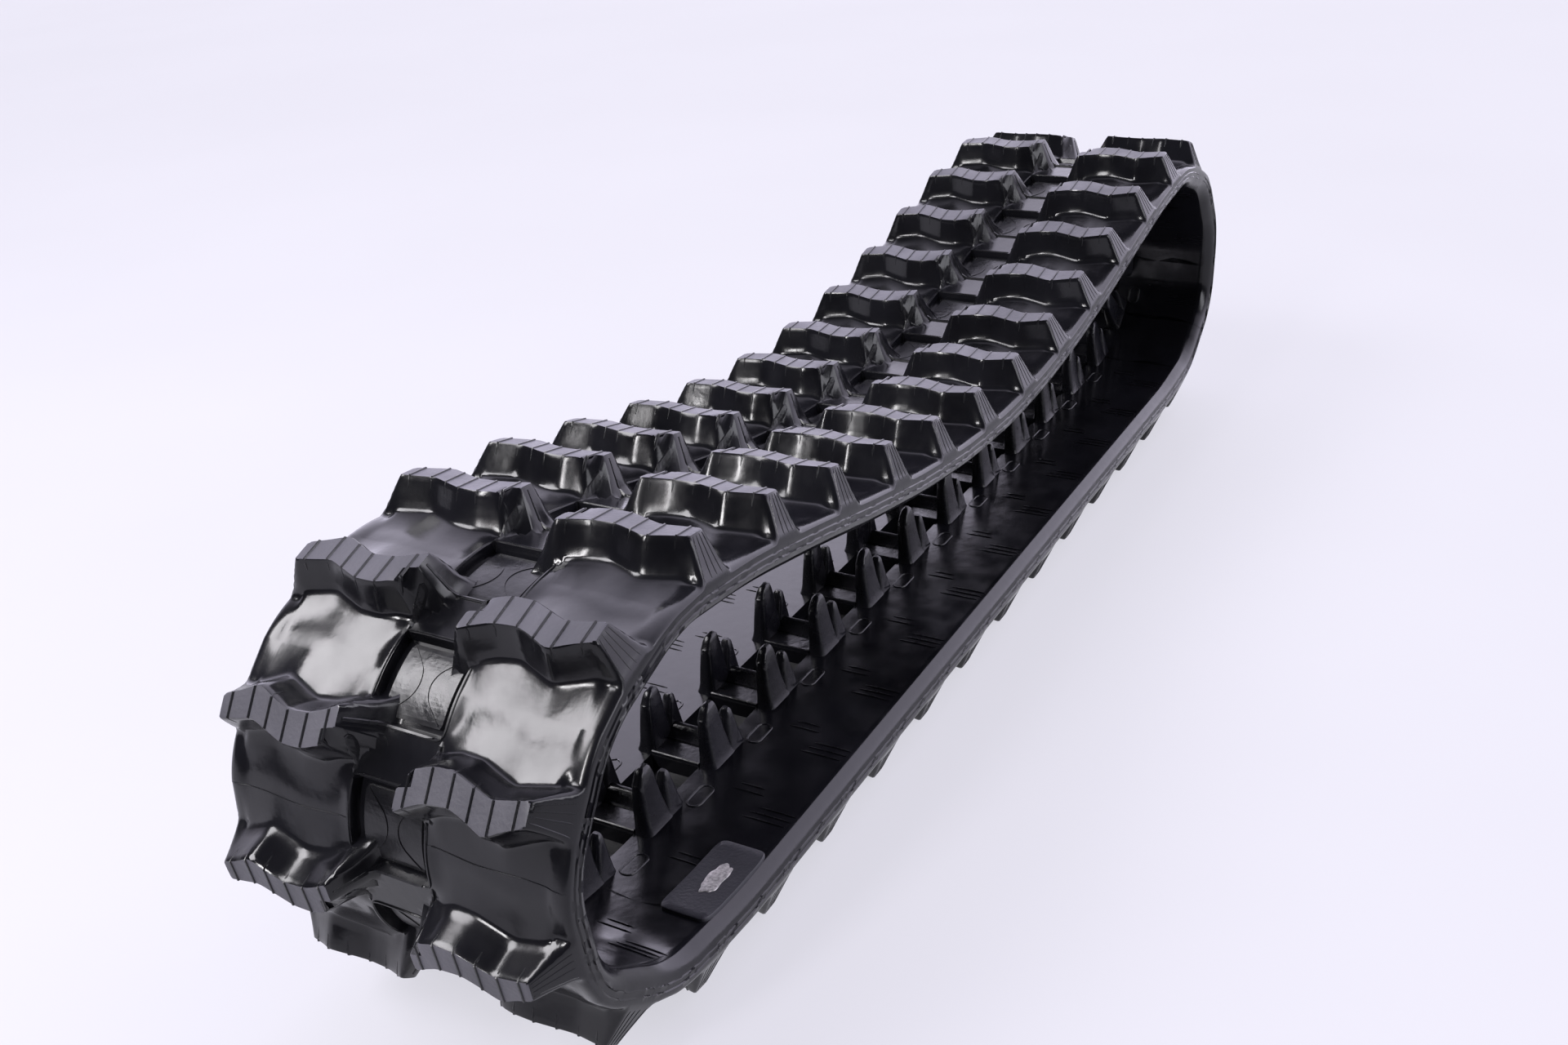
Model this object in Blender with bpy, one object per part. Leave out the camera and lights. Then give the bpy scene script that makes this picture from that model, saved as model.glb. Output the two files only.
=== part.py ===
"""Endless rubber track of a mini excavator, 180 mm wide, 60 mm pitch, 33 links.

It is laid on the ground as a closed loop with a sagging upper run. Each link holds one iron core with
two guide horns. Two steel cord bands run round the belt, one on each side of the drive windows.
X runs along the track, Y across it, +Z is up. The origin is on the ground under the loop's centre.
Along the belt, s is measured from a core's centre, y across, and n from the cords towards the inside.
"""

import math

import bpy
from mathutils import Vector

# Driving dimensions, in metres.
PITCH = 0.060
WIDTH = 0.180
LUG_HEIGHT = 0.019
TREAD_DEPTH = 0.004  # tread surface, outside the cords
INNER_HEIGHT = 0.012  # roller path, inside the cords
CORE_ZONE = 0.011  # half of the straight stretch that a core keeps rigid
GAP = 0.0003  # between touching pieces
OPEN_GAP = 0.0008  # half gap at the pivot that closes the loop

# Angles of the belt, in degrees.
TOE_ANGLE = 6.6
TURN_ANGLE = 36.6  # first link of each end, above the ground
END_HALF_TURN = 20.3  # half of the turn between the two end links
SHOULDER_ANGLE = 160.3  # last link of each end
SAG_ANGLES = [6.2, 11.8, 13.2, 11.2, 7.8, 2.9]  # downwards slope of the upper run, end to middle
RELIEF = math.radians(5.0)  # how far the end faces lean back, so that a joint can bend
SHARP_TURN = math.radians(12)  # a window that turns more than this gets more sections

LINKS = 33
TOP_LINK = LINKS // 2  # the last link before the middle of the upper run
WINDOW_ZONE = PITCH - 2 * CORE_ZONE
JOINT = PITCH / 2

# Which links each rubber segment holds, counted from the middle of the lower run towards +X.
BODIES = {
    "lower_run": list(range(-6, 7)),
    "far_toe": [7],
    "far_end": [8, 9],
    "far_shoulder": [10],
    "upper_run": list(range(11, 23)),
    "near_shoulder": [23],
    "near_end": [24, 25],
    "near_toe": [26],
}
# Each body's parent, and the link that starts at the window between them. Its middle is the joint's axis.
PARENTS = {
    "near_toe": ("lower_run", 27),
    "near_end": ("near_toe", 26),
    "near_shoulder": ("near_end", 24),
    "upper_run": ("near_shoulder", 23),
    "far_shoulder": ("upper_run", 11),
    "far_end": ("far_shoulder", 10),
    "far_toe": ("far_end", 8),
}
OPEN_JOINT = 6  # the last link before the pivot that closes the loop

# Cross-section of the belt as (y, n), outside first. The points at n = 0 let the end faces fold.
EDGE = WIDTH / 2
SECTION = [
    (-0.086, -TREAD_DEPTH), (0.086, -TREAD_DEPTH), (EDGE, -0.002), (EDGE, 0.0), (EDGE, 0.0065),
    (0.083, INNER_HEIGHT), (-0.083, INNER_HEIGHT), (-EDGE, 0.0065), (-EDGE, 0.0), (-EDGE, -0.002),
]
OUTER_CAP = [9, 0, 1, 2, 3, 8]
INNER_CAP = [8, 3, 4, 5, 6, 7]

# Drive windows between the cores: a recess in the tread and a pocket inside, with a membrane between.
WINDOW_START = 0.0125
RECESS = (0.019, -0.030, 0.001)  # half width, then lowest and highest n
POCKET = (0.0145, 0.004, 0.016)

# Steel cord bands.
CORD_INNER, CORD_OUTER, CORD_HALF = 0.028, 0.080, 0.001

# Left tread lug: (y, lowest s, highest s) of the flat top, from the inner end to the outer end.
LUG_TOP = [
    (0.018, -0.0156, 0.0010), (0.033, -0.0104, 0.0048), (0.044, -0.0092, 0.0050),
    (0.062, -0.0146, -0.0010), (0.078, -0.0080, 0.0010),
]
LUG_ROOT_Y = [0.0045, 0.033, 0.044, 0.062, 0.0885]
LUG_DRAFT = 0.005
LUG_ROOT_DEPTH = 0.003

# Iron core: (y, n) of one half of its front face, and the horn that stands on it.
CORE_HALF_LENGTH = 0.0115
SADDLE = 0.013
HORN_TIP_HALF = 0.0050
CORE_FLOOR, WING_END = 0.0026, 0.062
WING = [(WING_END, CORE_FLOOR), (WING_END, 0.0064), (0.025, 0.0082)]
HORN = [(0.025, SADDLE), (0.0205, 0.043), (0.018, 0.047), (0.0152, 0.047), (0.0137, 0.041), (0.0137, SADDLE)]

# Identification pad on the roller path of the near lower run.
PAD_Y = (-0.083, -0.056)
PAD_HEIGHT = 0.0018
PAD_STATIONS = [(-6, 0.002), (-6, 0.011), (-6, 0.020), (-6, 0.030), (-5, -0.020), (-5, -0.011), (-5, 0.002)]


def direction(angle):
    return Vector((math.cos(angle), 0, math.sin(angle)))


def inward(angle):
    return Vector((-math.sin(angle), 0, math.cos(angle)))


def arc(angle, turn, length):
    """Where an arc of the window zone leads: its chord, for a zone that turns by turn in all."""
    half = turn * length / WINDOW_ZONE / 2
    chord = length * (math.sin(half) / half if abs(half) > 1e-9 else 1.0)
    return chord * direction(angle + half)


def link_angles(end_middle):
    """Direction of travel at each core, from the middle of the lower run round to itself."""
    end = [TURN_ANGLE, end_middle - END_HALF_TURN, end_middle + END_HALF_TURN, SHOULDER_ANGLE]
    half = [0.0] * 6 + [TOE_ANGLE] + end + [180 + sag for sag in SAG_ANGLES]
    return [math.radians(a) for a in half + [360 - a for a in half[:0:-1]]]


def link_centres(angles):
    centres = [Vector((0, 0, 0))]
    for before, after in zip(angles, angles[1:]):
        step = CORE_ZONE * (direction(before) + direction(after)) + arc(before, after - before, WINDOW_ZONE)
        centres.append(centres[-1] + step)
    return centres


def close_loop():
    """The mean angle of the two end links for which the upper run meets in the middle."""
    low, high = 90.0, 115.0
    for _ in range(60):
        middle = (low + high) / 2
        centres = link_centres(link_angles(middle))
        if centres[TOP_LINK].x + centres[TOP_LINK + 1].x > 0:
            low = middle
        else:
            high = middle
    return link_angles((low + high) / 2)


ANGLES = close_loop()
CENTRES = [c + Vector((0, 0, LUG_HEIGHT + TREAD_DEPTH)) for c in link_centres(ANGLES)]


def turn(link, side):
    """How far the belt turns in the window after (side 1) or before (side -1) this link."""
    change = ANGLES[(link + side) % LINKS] - ANGLES[link % LINKS]
    return side * ((change + math.pi) % (2 * math.pi) - math.pi)


def frame_at(link, s):
    """The point of the cord line and the belt's angle there."""
    centre, angle = CENTRES[link % LINKS], ANGLES[link % LINKS]
    side = 1 if s >= 0 else -1
    past = abs(s) - CORE_ZONE
    if past <= 0:
        return centre + s * direction(angle), angle
    bend = side * turn(link, side)
    start = centre + side * CORE_ZONE * direction(angle)
    return start + side * arc(angle, bend, past), angle + bend * past / WINDOW_ZONE


def point(link, s, y, n):
    place, angle = frame_at(link, s)
    return place + n * inward(angle) + Vector((0, y, 0))


def end_point(link, side, y, n, gap):
    """A point of a segment's end face, which leans back from the cord line on both sides."""
    place, angle = frame_at(link, side * JOINT)
    back = side * (gap + abs(n) * math.tan(RELIEF))
    return place + n * inward(angle) - back * direction(angle) + Vector((0, y, 0))


def stations(links, start, end):
    """(link, s) pairs along a segment, with sections inside each window that turns sharply."""
    found = [(links[0], start)]
    for index, link in enumerate(links):
        if index:
            found.append((link, -JOINT))
        if turn(link, -1) > SHARP_TURN:
            found.append((link, -(JOINT + CORE_ZONE) / 2))
        found += [(link, -CORE_ZONE), (link, CORE_ZONE)]
        if turn(link, 1) > SHARP_TURN:
            found.append((link, (JOINT + CORE_ZONE) / 2))
    return found + [(links[-1], end)]


def mesh_object(name, points, faces, collection):
    mesh = bpy.data.meshes.new(name)
    mesh.from_pydata(points, [], faces)
    mesh.validate()
    obj = bpy.data.objects.new(name, mesh)
    collection.objects.link(obj)
    return obj


def loft_faces(rows, count, first, caps):
    """Faces that join rows of count points each into a closed solid; caps divide the two ends."""
    faces = []
    for row in range(rows - 1):
        a, b = first + row * count, first + (row + 1) * count
        faces += [(a + i, a + (i + 1) % count, b + (i + 1) % count, b + i) for i in range(count)]
    last = first + (rows - 1) * count
    for cap in caps:
        faces.append([first + i for i in reversed(cap)])
        faces.append([last + i for i in cap])
    return faces


def lofts(name, solids, collection, caps=None):
    """One object of several closed lofts. Each solid is a list of sections that run towards +s."""
    points, faces = [], []
    for sections in solids:
        count = len(sections[0])
        faces += loft_faces(len(sections), count, len(points), caps or [list(range(count))])
        points += [p for section in sections for p in section]
    return mesh_object(name, points, faces, collection)


def box_section(link, s, low_y, high_y, low_n, high_n):
    corners = [(low_y, low_n), (high_y, low_n), (high_y, high_n), (low_y, high_n)]
    return [point(link, s, y, n) for y, n in corners]


def end_gap(link, side):
    is_open = (link, side) in ((OPEN_JOINT, 1), (OPEN_JOINT + 1, -1))
    return OPEN_GAP if is_open else GAP


def belt_sections(links):
    first, last = links[0], links[-1]
    middle = stations(links, -JOINT, JOINT)[1:-1]
    start = [end_point(first, -1, y, n, end_gap(first, -1)) for y, n in SECTION]
    end = [end_point(last, 1, y, n, end_gap(last, 1)) for y, n in SECTION]
    return [start] + [[point(link, s, y, n) for y, n in SECTION] for link, s in middle] + [end]


def window_solids(links, half_width, low_n, high_n):
    """One bent box for each window of a segment; half windows run on past its end faces."""
    past = JOINT + 0.004
    between = (JOINT + WINDOW_START) / 2
    before = [(links[0], -past), (links[0], -between), (links[0], -WINDOW_START)]
    after = [(links[-1], WINDOW_START), (links[-1], between), (links[-1], past)]
    whole = [
        [(a, WINDOW_START), (a, between), (a, JOINT), (b, -between), (b, -WINDOW_START)]
        for a, b in zip(links, links[1:])
    ]
    boxes = [before] + whole + [after]
    return [[box_section(k, s, -half_width, half_width, low_n, high_n) for k, s in box] for box in boxes]


def lug_sections(link, side):
    """A lug's sections from one end to the other. The right lug is the left one turned half round."""
    top = -TREAD_DEPTH - LUG_HEIGHT
    root = -TREAD_DEPTH + LUG_ROOT_DEPTH
    sections = []
    for (y_top, low, high), y_root in zip(LUG_TOP, LUG_ROOT_Y):
        corners = [
            (high + LUG_DRAFT, y_root, root), (high, y_top, top),
            (low, y_top, top), (low - LUG_DRAFT, y_root, root),
        ]
        sections.append([point(link, side * s, side * y, n) for s, y, n in corners])
    return sections


def core_section(side):
    def half_length(n):
        rise = max(0.0, (n - SADDLE) / (HORN[2][1] - SADDLE))
        return CORE_HALF_LENGTH + rise * (HORN_TIP_HALF - CORE_HALF_LENGTH)

    half = WING + HORN
    outline = half + [(-y, n) for y, n in reversed(half)]
    return [Vector((side * half_length(n), y, n)) for y, n in outline]


def core_mesh_object(name, collection):
    """The core's body and both horns, as three caps on one extruded outline."""
    horn = list(range(3, 9))
    mirrored = [17 - i for i in reversed(horn)]
    body = [0, 1, 2, 3, 8, 9, 14, 15, 16, 17]
    return lofts(name, [[core_section(-1), core_section(1)]], collection, [body, horn, mirrored])


def core_pocket_sections(link):
    """The room that a core takes in the rubber, open to the inside round its horns and saddle."""
    reach, floor = WING_END + GAP, CORE_FLOOR - GAP
    half = [(reach, floor), (reach, 0.0064 + GAP), (0.025 + GAP, 0.0082 + GAP), (0.025 + GAP, 0.018)]
    outline = half + [(-y, n) for y, n in reversed(half)]
    length = CORE_HALF_LENGTH + GAP
    centre, angle = CENTRES[link % LINKS], ANGLES[link % LINKS]
    return [
        [centre + s * direction(angle) + n * inward(angle) + Vector((0, y, 0)) for y, n in outline]
        for s in (-length, length)
    ]


def cord_sections(links, side, clearance, past):
    """A cord band that stops short of the end faces, or the room for it, which runs on past them."""
    low, high = sorted((side * CORD_INNER, side * CORD_OUTER))
    half = CORD_HALF + clearance
    places = stations(links, -JOINT, JOINT)
    if past > 0:
        places = [(links[0], -JOINT - past)] + places + [(links[-1], JOINT + past)]
    else:
        places[0], places[-1] = (links[0], -JOINT - past), (links[-1], JOINT + past)
    return [box_section(link, s, low - clearance, high + clearance, -half, half) for link, s in places]


def material(name, color, roughness, metallic=0.0):
    made = bpy.data.materials.new(name)
    made.use_nodes = True
    shader = made.node_tree.nodes["Principled BSDF"]
    shader.inputs["Base Color"].default_value = (*color, 1)
    shader.inputs["Roughness"].default_value = roughness
    shader.inputs["Metallic"].default_value = metallic
    return made


def as_cutter(obj):
    obj.hide_render = True
    obj.display_type = "WIRE"
    return obj


def boolean(obj, operation, other):
    modifier = obj.modifiers.new(other.name, "BOOLEAN")
    modifier.operation = operation
    modifier.solver = "EXACT"
    modifier.object = other


def clear_scene():
    for obj in list(bpy.data.objects):
        bpy.data.objects.remove(obj, do_unlink=True)


def collection_named(name):
    made = bpy.data.collections.new(name)
    bpy.context.scene.collection.children.link(made)
    return made


def body_empties(collection):
    """One empty for each body, on the axis of the joint that moves it, parented down the chain."""
    places = {"lower_run": Vector((0, 0, 0))}
    empties = {"lower_run": bpy.data.objects.new("lower_run_body", None)}
    collection.objects.link(empties["lower_run"])
    for body, (parent, link) in PARENTS.items():
        empty = bpy.data.objects.new(body + "_body", None)
        collection.objects.link(empty)
        places[body], _ = frame_at(link, -JOINT)
        empty.parent = empties[parent]
        empty.location = places[body] - places[parent]
        empties[body] = empty
    return empties, places


def attach(obj, empty, place):
    obj.parent = empty
    obj.location = obj.location - place


def rubber_segment(body, links, parts, cutters, rubber):
    """Belt and lugs of one segment, moulded round its cores and cords."""
    belt = lofts("rubber_" + body, [belt_sections(links)], parts, [OUTER_CAP, INNER_CAP])
    belt.data.materials.append(rubber)
    recesses = lofts("recesses_" + body, window_solids(links, *RECESS), cutters)
    pockets = lofts("pockets_" + body, window_solids(links, *POCKET), cutters)
    lugs = lofts("lugs_" + body, [lug_sections(link, side) for link in links for side in (-1, 1)], cutters)
    cores = lofts("core_rooms_" + body, [core_pocket_sections(link) for link in links], cutters)
    cords = lofts("cord_rooms_" + body, [cord_sections(links, side, GAP, 0.004) for side in (-1, 1)], cutters)
    for cutter in (recesses, pockets, lugs, cores, cords):
        as_cutter(cutter)
    boolean(belt, "DIFFERENCE", recesses)
    boolean(belt, "UNION", lugs)
    for cutter in (cords, pockets, cores):
        boolean(belt, "DIFFERENCE", cutter)
    return belt


def main():
    clear_scene()
    parts = collection_named("rubber_track")
    cutters = collection_named("cutters")
    rubber = material("rubber", (0.020, 0.020, 0.024), 0.35)
    iron = material("iron", (0.035, 0.035, 0.042), 0.40, 0.6)
    steel_cord = material("steel_cord", (0.45, 0.42, 0.36), 0.35, 1.0)
    pad_rubber = material("pad_rubber", (0.030, 0.030, 0.034), 0.45)
    empties, places = body_empties(parts)

    first_core = core_mesh_object("iron_core_01", parts)
    first_core.data.materials.append(iron)
    for body, links in BODIES.items():
        attach(rubber_segment(body, links, parts, cutters, rubber), empties[body], places[body])
        for side, word in ((1, "left"), (-1, "right")):
            cord = lofts(f"steel_cords_{word}_{body}", [cord_sections(links, side, 0.0, -GAP)], parts)
            cord.data.materials.append(steel_cord)
            attach(cord, empties[body], places[body])
        for link in links:
            number = link % LINKS + 1
            core = first_core
            if number > 1:
                core = bpy.data.objects.new(f"iron_core_{number:02d}", first_core.data)
                parts.objects.link(core)
            core.location = CENTRES[link % LINKS]
            core.rotation_euler = (0, -ANGLES[link % LINKS], 0)
            attach(core, empties[body], places[body])

    pad_low = INNER_HEIGHT + GAP
    pad_sections = [box_section(k, s, *PAD_Y, pad_low, pad_low + PAD_HEIGHT) for k, s in PAD_STATIONS]
    pad = lofts("identification_pad", [pad_sections], parts)
    pad.data.materials.append(pad_rubber)
    attach(pad, empties["lower_run"], places["lower_run"])


main()
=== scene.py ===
"""Looks of the rubber track: the moulded belt with its lugs, the horned cores, the pad and the studio.

Lengths are in millimetres until a mesh is made. Along the belt, s is measured from a core's centre,
y across, and n from the cords towards the inside, as in the CAD. The left lug of each link is the one
at y > 0; the right lug, and the right half of each window, are the left ones turned half round.
"""
import math

import bpy
import numpy as np
from mathutils import Matrix, Vector


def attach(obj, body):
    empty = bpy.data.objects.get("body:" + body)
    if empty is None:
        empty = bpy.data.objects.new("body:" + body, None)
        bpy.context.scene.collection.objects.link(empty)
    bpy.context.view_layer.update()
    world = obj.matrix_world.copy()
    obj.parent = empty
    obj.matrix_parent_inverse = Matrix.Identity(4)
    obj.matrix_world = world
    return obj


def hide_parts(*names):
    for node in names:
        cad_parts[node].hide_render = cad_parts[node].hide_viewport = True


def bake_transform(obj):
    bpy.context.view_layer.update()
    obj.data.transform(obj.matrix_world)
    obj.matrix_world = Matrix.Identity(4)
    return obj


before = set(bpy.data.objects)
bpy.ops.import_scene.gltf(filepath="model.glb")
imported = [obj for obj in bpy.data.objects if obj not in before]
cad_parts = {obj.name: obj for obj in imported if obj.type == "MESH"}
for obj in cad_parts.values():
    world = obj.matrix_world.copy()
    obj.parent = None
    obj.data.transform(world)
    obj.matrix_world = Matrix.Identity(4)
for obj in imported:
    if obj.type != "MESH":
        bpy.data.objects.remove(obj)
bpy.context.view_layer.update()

MM = 0.001
BELT_SHARP, CORE_SHARP = 40.0, 38.0  # degrees at which an edge is shaded sharp

# The belt's path, with the same rules and angles as the CAD.
PITCH, CORE_ZONE, LINKS = 60.0, 11.0, 33
TOP_LINK = LINKS // 2
WINDOW_ZONE = PITCH - 2 * CORE_ZONE
TREAD, LUG_HEIGHT, INNER, EDGE = 4.0, 19.0, 12.0, 90.0
TOE_ANGLE, TURN_ANGLE, END_HALF_TURN, SHOULDER_ANGLE = 6.6, 36.6, 20.3, 160.3
SAG_ANGLES = [6.2, 11.8, 13.2, 11.2, 7.8, 2.9]
BODIES = {
    "lower_run": range(-6, 7), "far_toe": [7], "far_end": [8, 9], "far_shoulder": [10],
    "upper_run": range(11, 23), "near_shoulder": [23], "near_end": [24, 25], "near_toe": [26],
}
# Windows that bend with a joint: the link before each, and the joint's two bodies.
BENDING = [
    (26, "near_toe", "lower_run"), (25, "near_end", "near_toe"), (23, "near_shoulder", "near_end"),
    (22, "upper_run", "near_shoulder"), (10, "far_shoulder", "upper_run"), (9, "far_end", "far_shoulder"),
    (7, "far_toe", "far_end"),
]
OPEN_WINDOW = 6  # the link before the window where the loop is open
OPEN_LAP = 1.5  # how far each half runs past the middle of the open window
OPEN_INSET = 0.15
SPLICE_LINK = 24

# Lug: s of the top's two long edges, at stations across the belt.
LUG_Y = [18.0, 24.6, 33.0, 44.0, 62.0, 82.0]
LUG_LOW = [-15.6, -13.0, -10.4, -9.2, -14.6, -7.0]
LUG_HIGH = [0.5, 1.5, 4.8, 5.0, -1.0, 3.5]
KNEE = 2.4  # half of the length over which a knee is rounded
LUG_DRAFT = 5.0
LUG_INNER, LUG_INNER_ROOT = 18.0, 10.5
LUG_OUTER, LUG_OUTER_ROOT = 80.0, 88.5
SLANT_START, SLANT_RUN = -7.0, 8.5  # the inner end moves outwards by SLANT for each run along the belt
SLANT, SLANT_RUNS, SLANT_ROUND = 6.6, 1.3, 0.4
TOP_ROUND, END_ROUND, CORNER_ROUND = 0.6, 2.0, 6.0  # rounding of a lug's edges

# Drive windows: the recess outside and the pocket inside.
WINDOW_EDGE, WINDOW_FLOOR = 11.5, 12.1
RECESS_HALF, RECESS_WALL, RECESS_DEPTH = 19.0, 0.6, 5.0
PANEL_START, PANEL_HALF, PANEL_RISE = 14.4, 16.4, 1.4
POCKET_HALF, POCKET_START, POCKET_WALL, POCKET_DEPTH = 14.2, 12.5, 0.6, 8.0

# Land between two lugs: a ridge from knee to knee, with a basin on each side.
LAND_RIDGE = ((9.0, 61.0), (46.0, 43.0))
LAND_DEPTH, RIDGE_WIDTH = 1.2, 20.0
FOOT_RISE, FOOT_REACH = 3.6, 15.0  # the soft foot along a lug's sides
FILLET = 4.0  # blending height where a lug's flank meets its foot
LAND_INNER, LAND_OUTER = (20.5, 27.0), (78.0, 83.5)  # y over which the relief fades in and out
BORDER_START, BORDER_WIDTH, BORDER_DROP = 86.0, 2.4, 0.8

# Rows and columns of the belt's mesh.
FLANK_ROWS = np.array([-1.0, -0.3, 0.2, 0.7, 1.6, 2.8, 4.0, 5.0, 6.4, 8.2])  # from a lug's top edge
WINDOW_ROWS = np.array([10.9, WINDOW_EDGE, WINDOW_FLOOR, 12.7])
COLUMNS = [
    0, 3, 4.5, 6.5, 9, 12, 15, 17, 18.3, 19.0, 19.6, 20.3, 21.5, 23, 25, 27.5, 30, 32, 34, 36.5, 40, 43,
    45.5, 48.5, 52, 55.5, 58.5, 61, 63, 65.5, 68.5, 72, 75, 77.5, 79, 80, 81, 82.5, 84, 86, 87.5, 88.4,
]
EDGE_PROFILE = [
    (89.1, -2.6), (89.4, -1.6), (89.4, 0.3), (90.0, 0.8), (89.4, 1.3), (89.4, 3.5), (90.0, 4.0),
    (89.4, 4.5), (89.2, 6.6), (86.5, 9.4), (84.2, 11.4),
]
INNER_COLUMNS = [83, 80, 70, 58, 46, 34, 24, 18, 14.8, 14.2, 7, 0]


def direction(angle):
    return np.stack([np.cos(angle), np.sin(angle)], -1)


def inward(angle):
    return np.stack([-np.sin(angle), np.cos(angle)], -1)


def arc(angle, bend, length):
    """Where an arc leads that turns by bend over a whole window zone, after the given length."""
    half = bend * length / WINDOW_ZONE / 2
    return (length * np.sinc(half / np.pi))[..., None] * direction(angle + half)


def link_angles(end_middle):
    end = [TURN_ANGLE, end_middle - END_HALF_TURN, end_middle + END_HALF_TURN, SHOULDER_ANGLE]
    half = [0.0] * 6 + [TOE_ANGLE] + end + [180 + sag for sag in SAG_ANGLES]
    return np.radians(half + [360 - a for a in half[:0:-1]])


def link_centres(angles):
    before, after = angles[:-1], angles[1:]
    steps = CORE_ZONE * (direction(before) + direction(after))
    steps += arc(before, after - before, np.full(len(before), WINDOW_ZONE))
    return np.concatenate([[[0.0, 0.0]], np.cumsum(steps, 0)])


def close_loop():
    low, high = 90.0, 115.0
    for _ in range(60):
        middle = (low + high) / 2
        centres = link_centres(link_angles(middle))
        if centres[TOP_LINK, 0] + centres[TOP_LINK + 1, 0] > 0:
            low = middle
        else:
            high = middle
    return link_angles((low + high) / 2)


ANGLES = close_loop()
CENTRES = link_centres(ANGLES) + [0, LUG_HEIGHT + TREAD]
TURNS = (np.roll(ANGLES, -1) - ANGLES + np.pi) % (2 * np.pi) - np.pi  # in the window after each link


def place(link, s, y, n):
    """Points in millimetres, x y z, for arrays of belt coordinates counted from one link."""
    s, y, n = np.broadcast_arrays(np.asarray(s, float), y, n)
    step = np.where(s > PITCH / 2, 1, np.where(s < -PITCH / 2, -1, 0))
    k = (link + step) % LINKS
    s = s - step * PITCH
    side = np.where(s >= 0, 1.0, -1.0)
    bend = side * np.where(s >= 0, TURNS[k], TURNS[k - 1])
    past = np.maximum(np.abs(s) - CORE_ZONE, 0)
    straight = side * np.minimum(np.abs(s), CORE_ZONE)
    line = CENTRES[k] + straight[..., None] * direction(ANGLES[k])
    line = line + side[..., None] * arc(ANGLES[k], bend, past)
    line = line + n[..., None] * inward(ANGLES[k] + bend * past / WINDOW_ZONE)
    return np.stack([line[..., 0], y, line[..., 1]], -1)


def smooth_min(a, b, k):
    return np.minimum(a, b) - np.maximum(k - np.abs(a - b), 0) ** 2 / (4 * k)


def smooth_max(a, b, k):
    return -smooth_min(-a, -b, k)


def ease(low, high, x):
    t = np.clip((x - low) / (high - low), 0, 1)
    return t * t * (3 - 2 * t)


def rounded_line(a, values):
    """A line through the lug's stations, with its knees rounded."""
    shifts = np.linspace(-KNEE, KNEE, 9)
    return sum(np.interp(a + shift, LUG_Y, values) for shift in shifts) / len(shifts)


def side_room(s, y):
    """How far a point lies inside the feet of one link's lugs, along the belt."""
    a, t = np.abs(y), np.where(y >= 0, s, -s)
    before, after = t - rounded_line(a, LUG_LOW) + LUG_DRAFT, rounded_line(a, LUG_HIGH) + LUG_DRAFT - t
    return smooth_min(before, after, TOP_ROUND)


def lug_height(s, y):
    """Height of one link's lugs over the tread surface, without regard to the surface itself."""
    a, t = np.abs(y), np.where(y >= 0, s, -s)
    sides = side_room(s, y) * LUG_HEIGHT / LUG_DRAFT
    runs = smooth_min((t - SLANT_START) / SLANT_RUN, SLANT_RUNS, SLANT_ROUND)
    slant = smooth_max(0.0, runs, SLANT_ROUND) * SLANT
    inner = (a - LUG_INNER_ROOT - slant) / (LUG_INNER - LUG_INNER_ROOT) * LUG_HEIGHT
    outer = (LUG_OUTER_ROOT - a) / (LUG_OUTER_ROOT - LUG_OUTER) * LUG_HEIGHT
    ends = smooth_min(inner, outer, END_ROUND)
    return smooth_min(smooth_min(sides, ends, CORNER_ROUND), LUG_HEIGHT, TOP_ROUND)


def near_line(s, a, start, end):
    """Distance in (s, a) from a straight line between two points."""
    start, end = np.array(start), np.array(end)
    along = (end - start) / np.linalg.norm(end - start)
    return np.abs((s - start[0]) * along[1] - (a - start[1]) * along[0])


def ground_height(s, y):
    """The surface between the lugs: soft feet, basins beside a ridge, a lower border and the recesses."""
    a, t = np.abs(y), np.where(y >= 0, s, PITCH - s)
    inside = ease(*LAND_INNER, a) * (1 - ease(*LAND_OUTER, a))
    basin = -LAND_DEPTH * (1 - np.exp(-((near_line(t, a, *LAND_RIDGE) / RIDGE_WIDTH) ** 2)))
    gap = -np.maximum(side_room(s, y), side_room(s - PITCH, y))
    foot = FOOT_RISE * np.clip(1 - gap / FOOT_REACH, 0, 1) ** 2
    border = -BORDER_DROP * np.clip((a - BORDER_START) / BORDER_WIDTH, 0, 1) ** 2
    along = np.clip((np.minimum(s, PITCH - s) - WINDOW_EDGE) / (WINDOW_FLOOR - WINDOW_EDGE), 0, 1)
    across = np.clip((RECESS_HALF + RECESS_WALL - a) / RECESS_WALL, 0, 1)
    return inside * (basin + foot) + border - RECESS_DEPTH * along * across


def outer_n(s, y):
    ground = ground_height(s, y)
    lugs = np.maximum(lug_height(s, y), lug_height(s - PITCH, y))
    return -TREAD - smooth_max(lugs, ground, FILLET)


def inner_n(s, y):
    along = np.clip((np.minimum(s, PITCH - s) - POCKET_START) / POCKET_WALL, 0, 1)
    across = np.clip((POCKET_HALF + POCKET_WALL - np.abs(y)) / POCKET_WALL, 0, 1)
    return INNER - POCKET_DEPTH * along * across


def seam(y):
    """s of the middle of a link's lugs, where a piece of the belt ends."""
    a = np.abs(y)
    middle = (rounded_line(a, LUG_LOW) + rounded_line(a, LUG_HIGH)) / 2
    return np.sign(y) * middle * np.clip(a / LUG_INNER, 0, 1)


def spread(low, high, count):
    return np.linspace(low, high, count + 2)[1:-1]


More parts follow.
